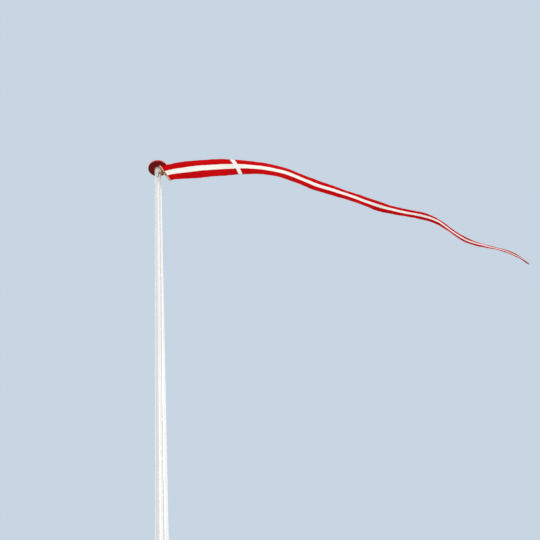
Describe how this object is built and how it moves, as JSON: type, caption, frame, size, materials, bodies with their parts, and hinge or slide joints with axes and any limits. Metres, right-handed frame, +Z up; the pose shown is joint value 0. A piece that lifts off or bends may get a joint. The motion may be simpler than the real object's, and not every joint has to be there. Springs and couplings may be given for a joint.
{
  "type": "flagpole with post clamps and pennant",
  "caption": "Conical glass-fibre flagpole clamped to a concrete post, with a mushroom knob, halyard, cleat and a long pennant that swings on the halyard.",
  "frame": {"origin": "centre of the concrete post's flat foot, at ground level", "axes": "+Z up along the pole; the pole stands on the -X side of the post, the halyard is on its -Y side, and the pennant flies towards +X at rest"},
  "size_m": [3.9513, 0.2183, 8.3376],
  "materials": {
    "concrete": "rough cast concrete",
    "white_gelcoat": "gloss gelcoat on glass fibre",
    "galvanised_steel": "hot-dip galvanised",
    "zinc_fasteners": "zinc plated",
    "red_knob": "gloss moulded",
    "white_sleeve": "satin moulded",
    "bronze": "cast bronze, dulled",
    "rope": "twisted cord",
    "cast_cleat": "satin casting",
    "stick_wood": "planed and oiled",
    "brass_hook": "polished, a little worn",
    "pennant_cloth": "woven polyester"
  },
  "bodies": {
    "pole": {"cleat": "cast_cleat", "cleat_hitch": "rope", "concrete_post": "concrete", "halyard_inner_line": "rope", "halyard_outer_line": "rope", "halyard_stop_knot": "rope", "halyard_top_turn": "rope", "knob": "red_knob", "knob_sleeve": "white_sleeve", "lower_clamp_bolt_front": "zinc_fasteners", "lower_clamp_bolt_rear": "zinc_fasteners", "lower_clamp_nut_front": "zinc_fasteners", "lower_clamp_nut_rear": "zinc_fasteners", "lower_clamp_saddle": "galvanised_steel", "lower_clamp_strap": "galvanised_steel", "lower_post_bolt": "zinc_fasteners", "lower_post_nut": "zinc_fasteners", "lower_post_washer": "zinc_fasteners", "pole_tube": "white_gelcoat", "truck_bracket": "bronze", "truck_pin": "zinc_fasteners", "truck_sheave": "bronze", "upper_clamp_bolt_front": "zinc_fasteners", "upper_clamp_bolt_rear": "zinc_fasteners", "upper_clamp_nut_front": "zinc_fasteners", "upper_clamp_nut_rear": "zinc_fasteners", "upper_clamp_saddle": "galvanised_steel", "upper_clamp_strap": "galvanised_steel", "upper_post_bolt": "zinc_fasteners", "upper_post_nut": "zinc_fasteners", "upper_post_washer": "zinc_fasteners"},
    "pennant_rig": {"hoist_stick": "stick_wood", "snap_hook": "brass_hook", "stick_becket": "rope", "pennant": "pennant_cloth"}
  },
  "joints": [
    {"name": "pennant_swing", "type": "hinge", "parent": "pole", "child": "pennant_rig", "pos_m": [-0.1355, -0.08, 7.912], "axis": [0, 0, 1], "range_deg": [-195, 15]}
  ]
}
